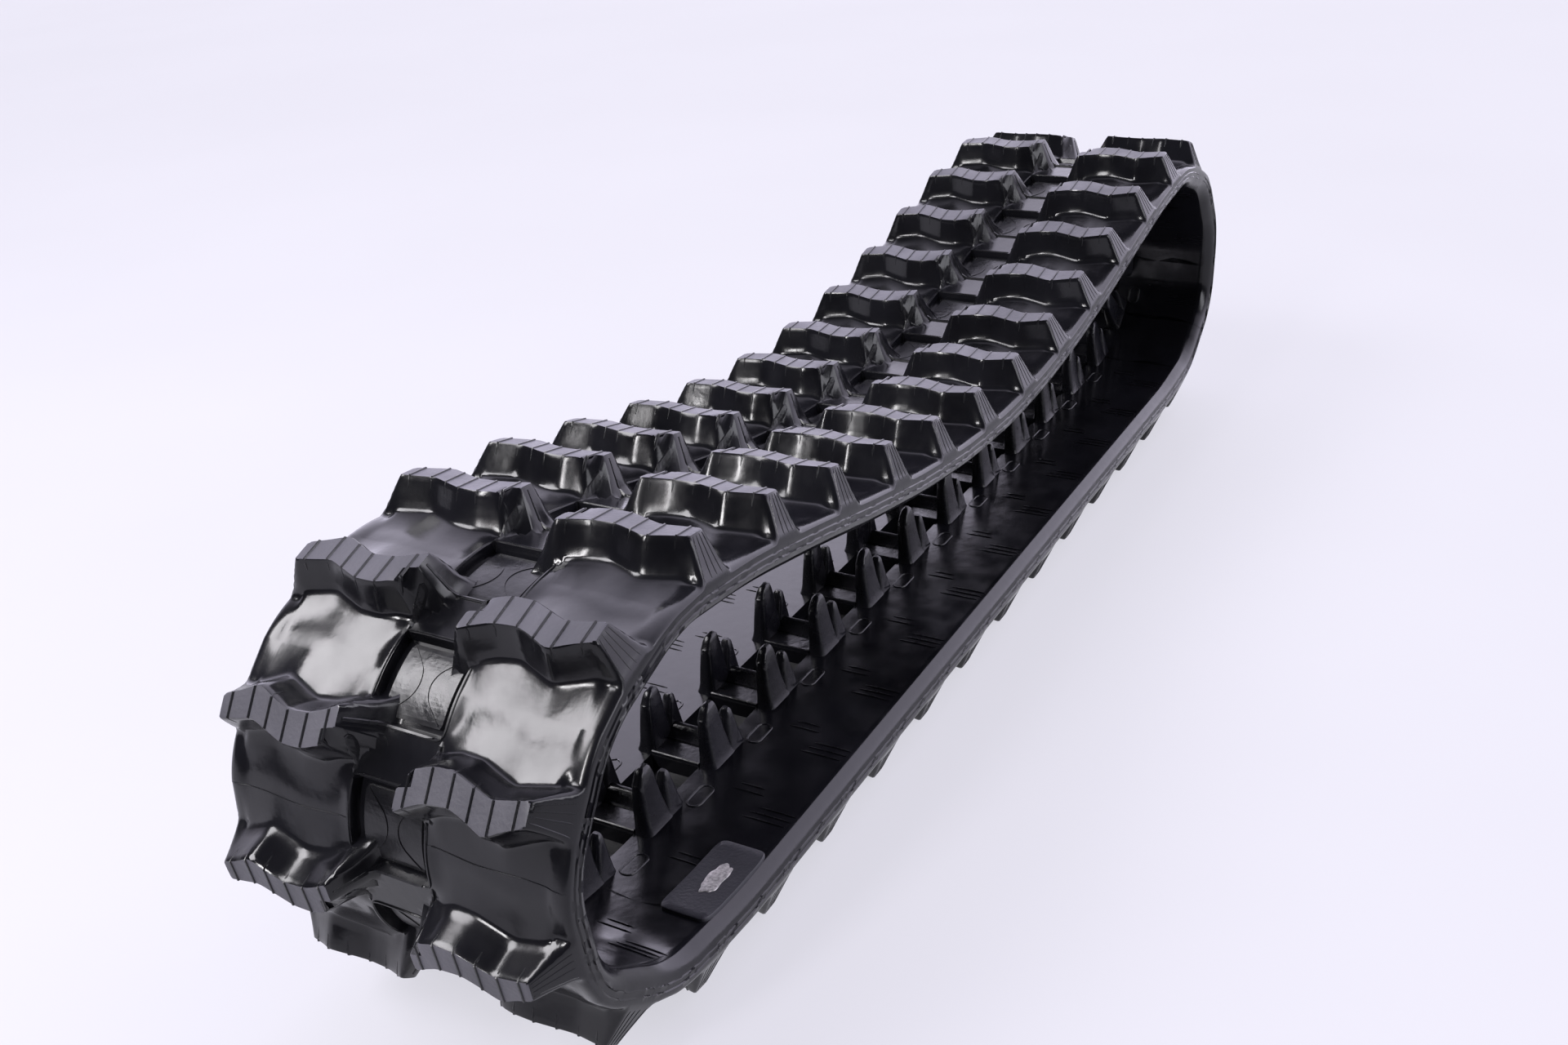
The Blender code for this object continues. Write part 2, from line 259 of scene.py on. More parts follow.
def first_half_rows(y):
    """s of the rows at one column, from the seam to the middle of the window."""
    a, start = abs(y), float(seam(y))
    flank, window = len(FLANK_ROWS), len(WINDOW_ROWS)
    in_window = a < RECESS_HALF + 2 * RECESS_WALL
    if a < LUG_INNER_ROOT:
        rows = [spread(start, WINDOW_ROWS[0], flank), WINDOW_ROWS, spread(WINDOW_ROWS[-1], PITCH / 2, flank)]
    elif y > 0:
        lug = float(rounded_line(a, LUG_HIGH)) + FLANK_ROWS
        if in_window:
            rows = [lug, WINDOW_ROWS, spread(WINDOW_ROWS[-1], PITCH / 2, flank)]
        else:
            rows = [lug, spread(lug[-1], PITCH / 2, window + flank)]
    else:
        lug = -float(rounded_line(a, LUG_LOW)) + FLANK_ROWS
        if in_window:
            rows = [spread(start, WINDOW_ROWS[0], flank), WINDOW_ROWS, lug]
        else:
            rows = [spread(start, lug[0], flank + window), lug]
    return np.concatenate([[start]] + rows + [[PITCH / 2]])


def pitch_rows(y):
    """s of the rows at one column over a whole pitch, from seam to seam."""
    return np.concatenate([first_half_rows(y), PITCH - first_half_rows(-y)[-2::-1]])


def inner_rows(y, count):
    """As pitch_rows, on the inner face: rows at the pocket's ends, evenly spaced between them."""
    half = count // 2
    before = half // 2
    wall = [POCKET_START, POCKET_START + POCKET_WALL]

    def half_rows(side_y):
        first = np.linspace(float(seam(side_y)), wall[0], before)
        return np.concatenate([first, np.linspace(wall[1], PITCH / 2, half + 1 - before)])

    return np.concatenate([half_rows(y), PITCH - half_rows(-y)[-2::-1]])


def belt_template():
    """Belt coordinates of one pitch as grids of rows by ring points, and each ring point's kind."""
    outer_y = np.array([-y for y in COLUMNS[:0:-1]] + COLUMNS, float)
    outer_s = np.stack([pitch_rows(y) for y in outer_y], 1)
    inner_y = np.array(INNER_COLUMNS + [-y for y in INNER_COLUMNS[-2::-1]], float)
    inner_s = np.stack([inner_rows(y, len(outer_s) - 1) for y in inner_y], 1)
    edge = np.array(EDGE_PROFILE)
    share = np.linspace(0, 1, len(edge) + 2)[1:-1]
    rows = len(outer_s)
    left_s = outer_s[:, -1:] * (1 - share) + inner_s[:, :1] * share
    right_s = inner_s[:, -1:] * (1 - share) + outer_s[:, :1] * share
    waver = 0.25 * np.sin(left_s * 2 * np.pi / 20) + 0.15 * np.sin(left_s * 2 * np.pi / 7.5)
    edge_n = np.tile(edge[:, 1], (rows, 1)) + waver * np.isin(np.arange(len(edge)), [3, 6])
    s = np.concatenate([outer_s, left_s, inner_s, right_s], 1)
    y = np.concatenate([outer_y, edge[:, 0], inner_y, -edge[::-1, 0]])
    y = np.tile(y, (rows, 1))
    outer = outer_n(outer_s, outer_y)
    n = np.concatenate([outer, edge_n, inner_n(inner_s, inner_y), edge_n[:, ::-1]], 1)
    is_top = np.zeros(s.shape, bool)
    is_top[:, :len(outer_y)] = outer < -TREAD - LUG_HEIGHT + 0.5
    return s, y, n, is_top


TEMPLATE = belt_template()
ROWS = len(TEMPLATE[0]) - 1
OPEN_ROW = ROWS // 2


def ring_quads(rings, count):
    """Point numbers of rings of count points each, and the quads between one ring and the next."""
    index = np.arange(rings * count).reshape(rings, count)
    after = np.roll(index, -1, 1)
    quads = np.stack([index[:-1], index[1:], after[1:], after[:-1]], -1).reshape(-1, 4)
    return index, quads


def signed_volume(points, quads):
    a, b, c, d = (points[quads[:, i]] for i in range(4))
    return np.einsum("ij,ij->", a, np.cross(b, c)) + np.einsum("ij,ij->", a, np.cross(c, d))


def add_object(name, points, faces, materials):
    """A flat-shaded object from points in millimetres."""
    mesh = bpy.data.meshes.new(name)
    mesh.from_pydata((points * MM).tolist(), [], faces)
    for material in materials:
        mesh.materials.append(material)
    obj = bpy.data.objects.new(name, mesh)
    bpy.context.scene.collection.objects.link(obj)
    return obj


def shade(obj, sharp_angle):
    obj.data.shade_smooth()
    obj.data.set_sharp_from_angle(angle=math.radians(sharp_angle))


def mesh_object(name, points, quads, materials, material_index=None, extra=()):
    """A smooth-shaded object from points in millimetres, with its faces turned outwards."""
    quads = np.asarray(quads)
    faces = quads.tolist() + [list(face) for face in extra]
    if signed_volume(points, quads) < 0:
        faces = [face[::-1] for face in faces]
    obj = add_object(name, points, faces, materials)
    if material_index is not None:
        obj.data.polygons.foreach_set("material_index", material_index)
    shade(obj, BELT_SHARP)
    return obj


def belt_grid(link, first_row=0, last_row=ROWS, lap=0.0, inset=0.0):
    """Points of one pitch or a part of it. A lap moves the row at the open window's middle."""
    s, y, n, is_top = (grid[first_row:last_row + 1].copy() for grid in TEMPLATE)
    if lap:
        s[-1 if lap > 0 else 0] += lap
    centre = INNER / 2 - TREAD / 2
    n = np.where(np.abs(n - centre) > inset, n - np.sign(n - centre) * inset, n)
    y = y * (1 - inset / EDGE)
    outer = 2 * len(COLUMNS) - 1
    foots = [place(link, s[row, :outer], y[row, :outer], np.zeros(outer)) for row in (0, -1)]
    return place(link, s, y, n), is_top, *foots


def capped(points, quads, index, foots):
    """Closes both ends: upright quads from the outer face down to the cords, then a flat cap below."""
    outer = 2 * len(COLUMNS) - 1
    caps = []
    for row, foot, end in ((index[0], foots[0], 0), (index[-1], foots[1], 1)):
        low = np.arange(len(points), len(points) + outer)
        points = np.concatenate([points, foot])
        walls = np.stack([row[:outer - 1], row[1:outer], low[1:], low[:-1]], -1)
        cap = np.concatenate([low, row[outer - 1:], row[:1]])
        quads = np.concatenate([quads, walls if end == 0 else walls[:, ::-1]])
        caps.append((cap if end == 0 else cap[::-1]).tolist())
    return points, quads, caps


def belt_piece(name, grids, materials):
    """One closed piece of the belt, from grids that meet row on row."""
    foots = grids[0][2], grids[-1][3]
    points = np.concatenate([grid[0] if i == 0 else grid[0][1:] for i, grid in enumerate(grids)])
    is_top = np.concatenate([grid[1] if i == 0 else grid[1][1:] for i, grid in enumerate(grids)])
    index, quads = ring_quads(*is_top.shape)
    top = is_top.reshape(-1)[quads].all(1).astype(int)
    points, quads, caps = capped(points.reshape(-1, 3), quads, index, foots)
    tops = np.zeros(len(quads) + len(caps), int)
    tops[:len(top)] = top
    return mesh_object(name, points, quads, materials, tops, extra=caps)


# Thin raised lines: widths and heights, and their courses as (s, y) points.
FIN_Y, FIN_SIZE = [23.0, 33.5, 44.0, 54.0, 64.0, 75.0], (1.3, 0.55)
FIN_OVERHANG = 1.5
RIBS, RIB_SIZE = ((-5.2, -9.5), (-3.0, -4.2), (-0.8, -0.2), (1.4, 3.6)), (0.7, 0.5)  # s at top and foot
RIB_Y = (80.5, 84.5, 88.3)
BEAD, BEAD_SIZE = [(11.0, 20.3), (4.0, 19.6), (-5.0, 16.5)], (2.2, 0.8)
LIP, LIP_SIZE = [(48.9, -15.5), (48.9, 17.0)], (1.8, 1.0)
HOURGLASS = [(14.5, 14.5), (24.0, 4.0), (30.0, 2.2), (36.0, 4.0), (45.5, 14.5)]
HOURGLASS_SIZE = (0.8, PANEL_RISE + 0.35)
RIM = [(40.0, 20.6), (20.0, 20.6), (12.5, 20.5), (10.6, 18.5), (10.4, 10.0), (10.4, -8.0)]
RIM_SIZE = (1.3, 0.55)
FLASH = ((22.0, 56, 80), (26.5, 58, 81), (31.0, 60, 82), (40.0, 40, 58), (45.0, 42, 56))  # s, y to y
FLASH_SIZE = (0.9, 0.5)
CAPSULE, CAPSULE_SIZE = (27.0, 28.5, 18.0, 8.0), (1.5, 0.5)  # s, y, length, width
SPLICE, SPLICE_SIZE = [(29.0, 21.0), (30.5, 45.0), (29.5, 66.0), (30.5, 88.0)], (0.7, 0.4)
SUNK = -0.15  # a line's sides start this far under the surface


def strip(path, width, height, surface, outwards, crown=0.5, ends=0.4):
    """Belt coordinates and quads of a thin raised line along (s, y) points on a surface.

    crown is the flat share of its width, ends the share of its size that is left at both ends."""
    path = np.array(path, float)
    tangent = np.gradient(path, axis=0)
    tangent /= np.linalg.norm(tangent, axis=1)[:, None]
    across = np.stack([-tangent[:, 1], tangent[:, 0]], 1) * width / 2
    taper = np.ones(len(path))
    taper[[0, -1]] = ends
    sections = []
    for share, rise in ((-1.0, SUNK), (-crown, height), (crown, height), (1.0, SUNK)):
        spot = path + across * (share * taper)[:, None]
        lift = np.where(rise > 0, rise * taper, rise)
        s, y = spot[:, 0], spot[:, 1]
        sections.append(np.stack([s, y, surface(s, y) + outwards * lift], 1))
    grid = np.stack(sections, 1)
    index, quads = ring_quads(len(path), 4)
    quads = np.concatenate([quads, [index[0]], [index[-1][::-1]]])
    return grid.reshape(-1, 3), quads


def curve(points, count):
    """A smooth line of count points through a few (s, y) points."""
    points = np.array(points, float)
    steps = np.concatenate([[0], np.cumsum(np.linalg.norm(np.diff(points, axis=0), axis=1))])
    places = np.linspace(0, steps[-1], count)
    line = np.stack([np.interp(places, steps, points[:, i]) for i in range(2)], 1)
    for _ in range(3):
        line[1:-1] = (line[:-2] + 2 * line[1:-1] + line[2:]) / 4
    return line


def other_lug(side, points):
    """The same line on the left lug (side 1) or the right one (side -1)."""
    return [(side * s, side * y) for s, y in points]


def lug_lines():
    """On both lugs: fins across the top, ribs that fan out over the belt's edge, a bead at the inner foot."""
    lines = []
    for side in (1, -1):
        for y in FIN_Y:
            low, high = float(rounded_line(y, LUG_LOW)), float(rounded_line(y, LUG_HIGH))
            course = [(s, y) for s in np.linspace(low - FIN_OVERHANG, high + FIN_OVERHANG, 18)]
            lines.append(strip(other_lug(side, course), *FIN_SIZE, outer_n, -1))
        for top, foot in RIBS:
            course = curve(list(zip((top, (top + foot) / 2, foot), RIB_Y)), 9)
            lines.append(strip(other_lug(side, course), *RIB_SIZE, outer_n, -1))
        lines.append(strip(other_lug(side, curve(BEAD, 10)), *BEAD_SIZE, outer_n, -1))
    return lines


def turned(points):
    """The same line after half a turn about the window's middle."""
    return [(PITCH - s, -y) for s, y in points]


def window_floor(s, y):
    """The recess's floor; it has a y, as outer_n and inner_n do, but is flat."""
    return np.full(np.shape(s), RECESS_DEPTH - TREAD)


def window_lines():
    """Outside, in each window: a raised panel with an hourglass, a lip and lines at the rim."""
    panel = [(s, 0.0) for s in np.linspace(PANEL_START, PITCH - PANEL_START, 17)]
    lines = [
        strip(panel, 2 * PANEL_HALF, PANEL_RISE, window_floor, -1, crown=0.93, ends=0.94),
        strip(curve(LIP, 12), *LIP_SIZE, outer_n, -1, ends=0.8),
    ]
    for flip in (list, turned):
        lines.append(strip(curve(flip(HOURGLASS), 22), *HOURGLASS_SIZE, window_floor, -1))
        lines.append(strip(curve(flip(RIM), 36), *RIM_SIZE, outer_n, -1))
    return lines


def capsule(s, y, length, width):
    turn = np.linspace(0, 2 * np.pi, 24)
    straight = np.where(np.cos(turn) >= 0, 1, -1) * (length - width) / 2
    return np.stack([s + straight + np.cos(turn) * width / 2, y + np.sin(turn) * width / 2], 1)


def inside_lines():
    """Lines inside: flash lines across the roller paths and a capsule ring beside each window."""
    lines = []
    capsule_s, capsule_y, length, width = CAPSULE
    for side in (1, -1):
        ring = capsule(capsule_s, side * capsule_y, length, width)
        lines.append(strip(ring, *CAPSULE_SIZE, inner_n, 1))
        for s, start, end in FLASH:
            course = curve([(s, side * start), (s + 0.4, side * (start + end) / 2), (s, side * end)], 6)
            lines.append(strip(course, *FLASH_SIZE, inner_n, 1))
    return lines


def splice_lines():
    """The thin line left where the mould closed on the belt's last joint, across both lands."""
    courses = [curve([(s, side * y) for s, y in SPLICE], 30) for side in (1, -1)]
    return [strip(course, *SPLICE_SIZE, outer_n, -1) for course in courses]


LUG_LINES = lug_lines()
PITCH_LINES = window_lines() + inside_lines()


def line_piece(name, places, material):
    """One object of many thin lines; places is a list of (link, lines)."""
    points, quads, count = [], [], 0
    for link, lines in places:
        for grid, faces in lines:
            spots = place(link, grid[:, 0], grid[:, 1], grid[:, 2])
            if signed_volume(spots - spots.mean(0), faces) < 0:
                faces = faces[:, ::-1]
            points.append(spots)
            quads.append(faces + count)
            count += len(spots)
    return add_object(name, np.concatenate(points), np.concatenate(quads).tolist(), [material])


# Iron cores with their rubber skin. Sections are (n, lowest s, highest s, inner y, outer y).
HORN = [
    (10.5, -13.5, 11.0, 13.2, 25.5), (13.5, -12.2, 9.4, 13.6, 24.2), (17.0, -11.6, 8.2, 13.8, 23.4),
    (26.0, -11.2, 5.8, 14.0, 22.4), (36.0, -10.2, 3.9, 14.3, 21.4), (39.5, -9.9, 3.3, 14.4, 21.1),
    (40.2, -9.2, 3.1, 14.5, 21.0), (43.0, -8.0, 2.5, 14.8, 20.6), (45.6, -6.0, 1.5, 15.3, 19.8),
    (46.7, -4.2, 0.2, 16.2, 18.8),
]
HUMP = [
    (10.5, 3.0, 21.0, 13.4, 24.8), (14.0, 5.0, 19.6, 13.8, 23.8), (22.0, 7.6, 17.6, 14.2, 22.6),
    (29.0, 9.4, 16.2, 14.6, 21.4), (33.0, 10.6, 15.2, 15.2, 20.6), (34.4, 11.8, 14.2, 16.2, 19.4),
]
SADDLE_HALF = 14.6
SADDLE_PROFILE = [
    (-12.6, 9.5), (-12.2, 13.8), (-11.6, 14.2), (-11.0, 13.8), (-10.6, 13.1), (1.8, 13.1), (2.2, 13.9),
    (3.2, 14.2), (8.6, 17.8), (9.8, 18.6), (11.2, 18.6), (12.6, 17.2), (16.4, 9.5),
]
CORNERS, CORNER_SHARE = 5, 0.36  # points round a section's corner, its radius as a share of the section


def section(n, low_s, high_s, low_y, high_y, side):
    """A rounded rectangle at height n, as (s, y, n) points."""
    radius = min(high_s - low_s, high_y - low_y) * CORNER_SHARE
    points = []
    for corner in range(4):
        sign_s, sign_y = (1, 1, -1, -1)[corner], (1, -1, -1, 1)[corner]
        centre_s = (high_s if sign_s > 0 else low_s) - sign_s * radius
        centre_y = (high_y if sign_y > 0 else low_y) - sign_y * radius
        start = (0.5, 0.0, -0.5, -1.0)[corner] * np.pi
        for turn in start + np.linspace(0, -0.5 * np.pi, CORNERS):
            points.append((centre_s + radius * np.cos(turn), centre_y + radius * np.sin(turn), n))
    points = np.array(points)
    points[:, 1] *= side
    return points


def tower(levels, side):
    rings = [section(*level, side) for level in levels]
    index, quads = ring_quads(len(rings), len(rings[0]))
    return np.concatenate(rings), quads.tolist(), [index[0].tolist(), index[-1][::-1].tolist()]


def saddle():
    """The plate that a sprocket tooth bears on, its ramp and the ridge between the humps."""
    profile = np.array(SADDLE_PROFILE)
    widths = np.linspace(-SADDLE_HALF, SADDLE_HALF, 9)
    grid = np.array([[(s, y, n) for s, n in profile] for y in widths])
    index, quads = ring_quads(len(widths), len(profile))
    return grid.reshape(-1, 3), quads.tolist(), [index[0].tolist(), index[-1][::-1].tolist()]


def core_solids():
    return [saddle()] + [tower(levels, side) for side in (1, -1) for levels in (HORN, HUMP)]


CORE_SOLIDS = core_solids()


def core_piece(link, material):
    points, faces, count = [], [], 0
    for local, quads, caps in CORE_SOLIDS:
        spots = place(link, local[:, 0], local[:, 1], local[:, 2])
        solid = quads + caps
        if signed_volume(spots - spots.mean(0), np.array(quads)) < 0:
            solid = [face[::-1] for face in solid]
        faces += [[i + count for i in face] for face in solid]
        points.append(spots)
        count += len(spots)
    core = add_object(f"horned_core_{link % LINKS + 1:02d}", np.concatenate(points), faces, [material])
    shade(core, CORE_SHARP)
    return core


# Materials.
RUBBER_IOR = 1.38  # lower than rubber's 1.5, so that the flanks don't mirror the pale floor as grey


def material(name):
    made = bpy.data.materials.new(name)
    made.use_nodes = True
    return made, made.node_tree, made.node_tree.nodes["Principled BSDF"]


def noise(tree, scale, detail=3.0, roughness=0.5):
    position = tree.nodes.new("ShaderNodeTexCoord")
    node = tree.nodes.new("ShaderNodeTexNoise")
    node.inputs["Scale"].default_value = scale
    node.inputs["Detail"].default_value = detail
    node.inputs["Roughness"].default_value = roughness
    tree.links.new(position.outputs["Object"], node.inputs["Vector"])
    return node.outputs["Fac"]


def ramp(tree, source, low, high, start=0.35, end=0.65):
    """Maps a noise to values or colours between low and high."""
    node = tree.nodes.new("ShaderNodeValToRGB")
    node.color_ramp.elements[0].position = start
    node.color_ramp.elements[1].position = end
    for element, value in zip(node.color_ramp.elements, (low, high)):
        element.color = (*value, 1) if isinstance(value, tuple) else (value, value, value, 1)
    tree.links.new(source, node.inputs["Fac"])
    return node.outputs["Color"]


def bump(tree, shader, source, strength, distance):
    node = tree.nodes.new("ShaderNodeBump")
    node.inputs["Strength"].default_value = strength
    node.inputs["Distance"].default_value = distance
    tree.links.new(source, node.inputs["Height"])
    tree.links.new(node.outputs["Normal"], shader.inputs["Normal"])


def rubber_material(name, dark, light, smooth, rough, bump_scale, bump_strength):
    """Moulded black rubber: two tones, patches of gloss and a fine uneven skin."""
    made, tree, shader = material(name)
    tree.links.new(ramp(tree, noise(tree, 22.0), dark, light), shader.inputs["Base Color"])
    tree.links.new(ramp(tree, noise(tree, 60.0, 5.0), smooth, rough), shader.inputs["Roughness"])
    bump(tree, shader, noise(tree, bump_scale, 4.0), bump_strength, 0.0006)
    shader.inputs["IOR"].default_value = RUBBER_IOR
    return made


def steel_material():
    made, tree, shader = material("brass_plated_steel")
    tone = ramp(tree, noise(tree, 300.0), (0.40, 0.36, 0.27), (0.55, 0.50, 0.40))
    tree.links.new(tone, shader.inputs["Base Color"])
    tree.links.new(ramp(tree, noise(tree, 900.0), 0.28, 0.42), shader.inputs["Roughness"])
    shader.inputs["Metallic"].default_value = 1.0
    return made


def silver_material():
    made, tree, shader = material("silver_paint")
    tone = ramp(tree, noise(tree, 700.0, 6.0), (0.30, 0.29, 0.28), (0.62, 0.60, 0.58))
    tree.links.new(tone, shader.inputs["Base Color"])
    tree.links.new(ramp(tree, noise(tree, 500.0), 0.35, 0.6), shader.inputs["Roughness"])
    bump(tree, shader, noise(tree, 900.0, 5.0), 0.5, 0.0003)
    shader.inputs["Metallic"].default_value = 0.6
    return made


# The identification pad on the roller path, without lettering, and its dab of silver paint.
PAD_LINK, PAD_S, PAD_Y = -5, (-57.0, 1.0), (-83.5, -57.0)
PAD_RISE = 1.9
PAD_SHRINKS = (0.9, 0.8, 0.6, 0.4, 0.2)  # rings on the pad's top, as shares of its outline


def superellipse(centre_s, centre_y, half_s, half_y, power, count=48):
    turn = np.linspace(0, 2 * np.pi, count, endpoint=False)
    c, s = np.cos(turn), np.sin(turn)
    return np.stack([
        centre_s + half_s * np.sign(c) * np.abs(c) ** (2 / power),
        centre_y + half_y * np.sign(s) * np.abs(s) ** (2 / power),
    ], 1)


def slab(name, outline, base, levels, material, wave=0.0):
    """A low slab on the inner face: rings at (rise, shrink) levels, the last one closed by a fan."""
    centre = outline.mean(0)
    turn = np.linspace(0, 2 * np.pi, len(outline), endpoint=False)
    ripple = 1 + wave * np.sin(5 * turn) + wave * 0.7 * np.sin(9 * turn + 1)
    outline = centre + (outline - centre) * ripple[:, None]
    rings = []
    for rise, shrink in levels:
        spot = centre + (outline - centre) * shrink
        rings.append(place(PAD_LINK, spot[:, 0], spot[:, 1], np.full(len(spot), base + rise)))
    index, quads = ring_quads(len(rings), len(outline))
    middle = place(PAD_LINK, centre[0], centre[1], base + levels[-1][0])
    points = np.concatenate(rings + [middle[None]])
    fan = [[a, b, len(points) - 1] for a, b in zip(index[-1].tolist(), np.roll(index[-1], -1).tolist())]
    return mesh_object(name, points, quads, [material], extra=[index[0].tolist()] + [f[::-1] for f in fan])


def pad_pieces(pad_rubber, silver):
    middle_s, middle_y = sum(PAD_S) / 2, sum(PAD_Y) / 2
    outline = superellipse(middle_s, middle_y, (PAD_S[1] - PAD_S[0]) / 2, (PAD_Y[1] - PAD_Y[0]) / 2, 9, 64)
    levels = [(-0.4, 1.0), (PAD_RISE - 0.5, 0.995), (PAD_RISE, 0.97)]
    levels += [(PAD_RISE, 0.93 * share) for share in PAD_SHRINKS]
    pad = slab("identification_pad_skin", outline, INNER, levels, pad_rubber)
    blob = superellipse(middle_s + 1.0, middle_y - 0.5, 12.0, 4.6, 2.6)
    dab_rises = ((-0.2, 1.0), (0.35, 0.96), (0.5, 0.85), (0.5, 0.4))
    dab_levels = [(PAD_RISE + rise, shrink) for rise, shrink in dab_rises]
    dab = slab("silver_dab", blob, INNER, dab_levels, silver, wave=0.07)
    return pad, dab


# Studio.
CAMERA_PLACE = (-0.785, -0.4011, 0.5019)
CAMERA_RIGHT = (0.4861, -0.8710, -0.0714)
CAMERA_UP = (0.4239, 0.1635, 0.8908)
CAMERA_FORWARD = (0.7642, 0.4633, -0.4487)
LENS = 35.21
FLOOR = (-1.5, 16.0, -9.0, 13.0, -0.0005)  # low and high x, low and high y, height, in metres
PALE = (0.93, 0.92, 1.0, 1)
DARK_SIDE, BRIGHT_SIDE = (0.02, 0.02, 0.024), (2.8, 2.66, 3.25)
# Softboxes: name, place, target and size in metres, brightness, colour.
SOFTBOXES = [
    ("softbox", (-1.15, 1.10, 1.65), (-0.40, 0, 0.15), (1.1, 0.85), 19.0, (0.98, 0.96, 1.0)),
    ("strip_softbox", (-1.9, 0.20, 1.25), (-0.15, 0, 0.2), (0.22, 0.75), 50.0, (1.0, 0.98, 1.0)),
    ("side_light", (-0.2, -2.0, 0.9), (0.0, 0, 0.08), (1.6, 0.6), 5.5, (0.92, 0.92, 1.0)),
]


def add_camera():
    data = bpy.data.cameras.new("camera")
    data.lens, data.sensor_width = LENS, 36.0
    camera = bpy.data.objects.new("camera", data)
    right, up, forward = (Vector(v).normalized() for v in (CAMERA_RIGHT, CAMERA_UP, CAMERA_FORWARD))
    turn = Matrix((right, up, -forward)).transposed().to_4x4()
    camera.matrix_world = Matrix.Translation(CAMERA_PLACE) @ turn
    bpy.context.scene.collection.objects.link(camera)
    bpy.context.scene.camera = camera


def add_area(name, spot, target, size, radiance, color):
    """A rectangular softbox whose power gives it the stated brightness."""
    data = bpy.data.lights.new(name, "AREA")
    data.shape = "RECTANGLE"
    data.size, data.size_y = size
    data.energy = radiance * math.pi * size[0] * size[1]
    data.color = color
    light = bpy.data.objects.new(name, data)
    light.location = spot
    light.rotation_euler = (Vector(target) - Vector(spot)).to_track_quat("-Z", "Y").to_euler()
    bpy.context.scene.collection.objects.link(light)


def add_floor():
    made, tree, shader = material("studio_floor")
    tone = ramp(tree, noise(tree, 2.0), (0.125, 0.122, 0.138), (0.135, 0.132, 0.148))
    tree.links.new(tone, shader.inputs["Base Color"])
    shader.inputs["Roughness"].default_value = 0.7
    shader.inputs["Specular IOR Level"].default_value = 0.1
    shader.inputs["Emission Color"].default_value = PALE
    shader.inputs["Emission Strength"].default_value = 0.66
    mesh = bpy.data.meshes.new("floor")
    low_x, high_x, low_y, high_y, z = FLOOR
    corners = [(low_x, low_y, z), (high_x, low_y, z), (high_x, high_y, z), (low_x, high_y, z)]
    mesh.from_pydata(corners, [], [(0, 1, 2, 3)])
    mesh.materials.append(made)
    floor = bpy.data.objects.new("floor", mesh)
    bpy.context.scene.collection.objects.link(floor)


def add_world():
    """Bright lilac haze beyond the far end, dark behind the near end, and a pale backdrop to look at."""
    world = bpy.data.worlds.new("studio")
    bpy.context.scene.world = world
    world.use_nodes = True
    tree = world.node_tree
    background = tree.nodes["Background"]
    coordinates = tree.nodes.new("ShaderNodeTexCoord")
    axes = tree.nodes.new("ShaderNodeSeparateXYZ")
    tree.links.new(coordinates.outputs["Generated"], axes.inputs["Vector"])
    haze = ramp(tree, axes.outputs["X"], DARK_SIDE, BRIGHT_SIDE, 0.0, 0.55)
    tree.links.new(haze, background.inputs["Color"])
    backdrop = tree.nodes.new("ShaderNodeBackground")
    backdrop.inputs["Color"].default_value = PALE
    choice = tree.nodes.new("ShaderNodeMixShader")
    seen = tree.nodes.new("ShaderNodeLightPath")
    tree.links.new(seen.outputs["Is Camera Ray"], choice.inputs["Fac"])
    tree.links.new(background.outputs["Background"], choice.inputs[1])
    tree.links.new(backdrop.outputs["Background"], choice.inputs[2])
    tree.links.new(choice.outputs["Shader"], tree.nodes["World Output"].inputs["Surface"])


def finish_piece(obj, body, nodes=()):
    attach(obj, body)
    if nodes:
        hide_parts(*nodes)


def bending_piece(link, materials, line_material):
    """The belt and its lines over one bending window, from the first link to the next, baked in place and
    attached to no body.
    """
    start, end = (Vector(place(k, s, 0.0, 0.0)) * MM for k, s in ((link, CORE_ZONE), (link + 1, -CORE_ZONE)))
    belt = belt_piece(f"belt_window_{link % LINKS + 1:02d}", [belt_grid(link)], materials)
    lines = line_piece(f"window_lines_{link % LINKS + 1:02d}", [(link, PITCH_LINES)], line_material)
    for piece in (belt, lines):
        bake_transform(piece)
    return belt


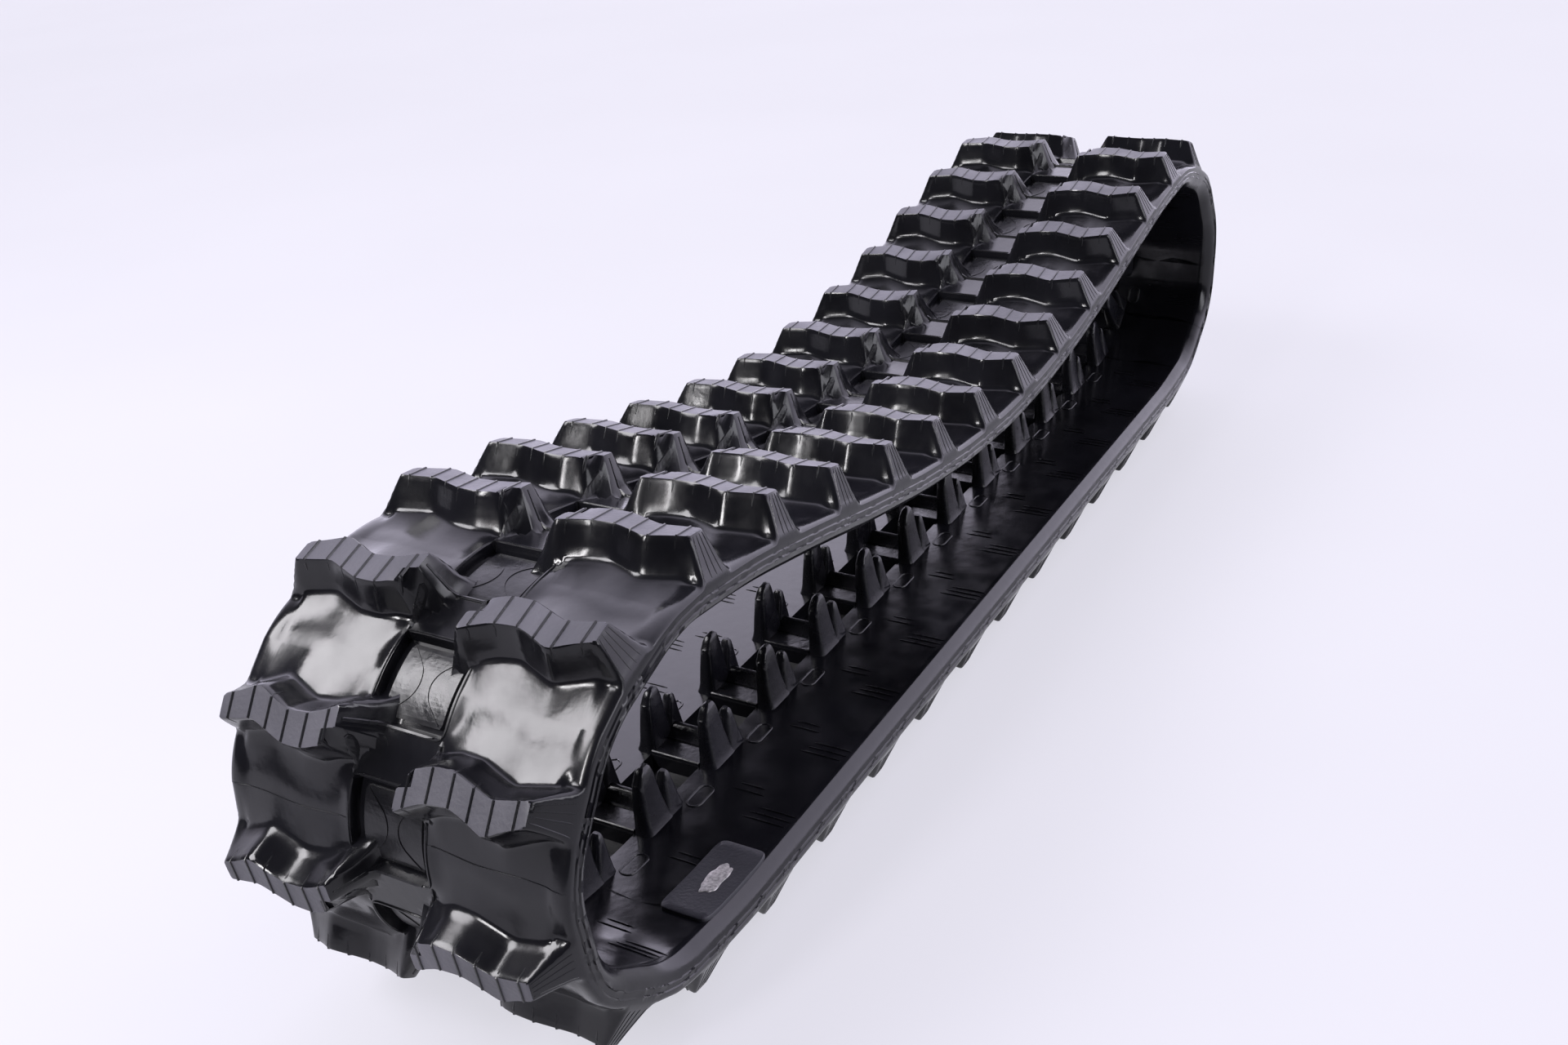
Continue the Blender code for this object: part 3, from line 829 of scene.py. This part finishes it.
def build_belt(rubber, tread_top, fin):
    materials = [rubber, tread_top]
    shown_by = {}
    for body, links in BODIES.items():
        links = list(links)
        lug_piece = line_piece("lug_lines_" + body, [(link, LUG_LINES) for link in links], fin)
        finish_piece(lug_piece, body)
        if len(links) > 1:
            belt = belt_piece("belt_" + body, [belt_grid(link) for link in links[:-1]], materials)
            finish_piece(belt, body)
            shown_by[body] = belt
            lines = line_piece("belt_lines_" + body, [(link, PITCH_LINES) for link in links[:-1]], fin)
            finish_piece(lines, body)
    for link, body_a, body_b in BENDING:
        belt = bending_piece(link, materials, fin)
        shown_by.setdefault(body_a, belt)
        shown_by.setdefault(body_b, belt)
    splice = line_piece("splice_line", [(SPLICE_LINK, splice_lines())], fin)
    finish_piece(splice, "near_end")
    near_half = belt_piece("belt_open_window_a", [belt_grid(OPEN_WINDOW, 0, OPEN_ROW, OPEN_LAP)], materials)
    finish_piece(near_half, "lower_run")
    far_grid = belt_grid(OPEN_WINDOW, OPEN_ROW, ROWS, -OPEN_LAP, OPEN_INSET)
    far_half = belt_piece("belt_open_window_b", [far_grid], materials)
    finish_piece(far_half, "far_toe")
    for body, belt in shown_by.items():
        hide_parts("rubber_" + body)


def main():
    glossy = rubber_material(
        "glossy_rubber", (0.0035, 0.0035, 0.0045), (0.007, 0.007, 0.009), 0.13, 0.25, 140.0, 0.16)
    tread_top = rubber_material(
        "tread_top_rubber", (0.048, 0.047, 0.057), (0.070, 0.068, 0.082), 0.40, 0.52, 500.0, 0.3)
    fin = rubber_material(
        "flash_rubber", (0.004, 0.004, 0.005), (0.008, 0.008, 0.010), 0.22, 0.36, 300.0, 0.3)
    skin = rubber_material(
        "horn_skin_rubber", (0.004, 0.004, 0.005), (0.009, 0.009, 0.012), 0.16, 0.34, 260.0, 0.35)
    pad_rubber = rubber_material(
        "satin_pad_rubber", (0.020, 0.020, 0.025), (0.030, 0.030, 0.036), 0.38, 0.50, 600.0, 0.35)
    steel = steel_material()
    add_camera()
    build_belt(glossy, tread_top, fin)
    for body, links in BODIES.items():
        for link in links:
            core = core_piece(link, skin)
            finish_piece(core, body, [f"iron_core_{link % LINKS + 1:02d}"])
    pad, dab = pad_pieces(pad_rubber, silver_material())
    finish_piece(pad, "lower_run", ["identification_pad"])
    finish_piece(dab, "lower_run")
    for name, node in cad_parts.items():
        if name.startswith("steel_cords"):
            node.data.materials.clear()
            node.data.materials.append(steel)
    add_floor()
    add_world()
    bpy.context.scene.view_settings.view_transform = "Standard"
    for softbox in SOFTBOXES:
        add_area(*softbox)


main()
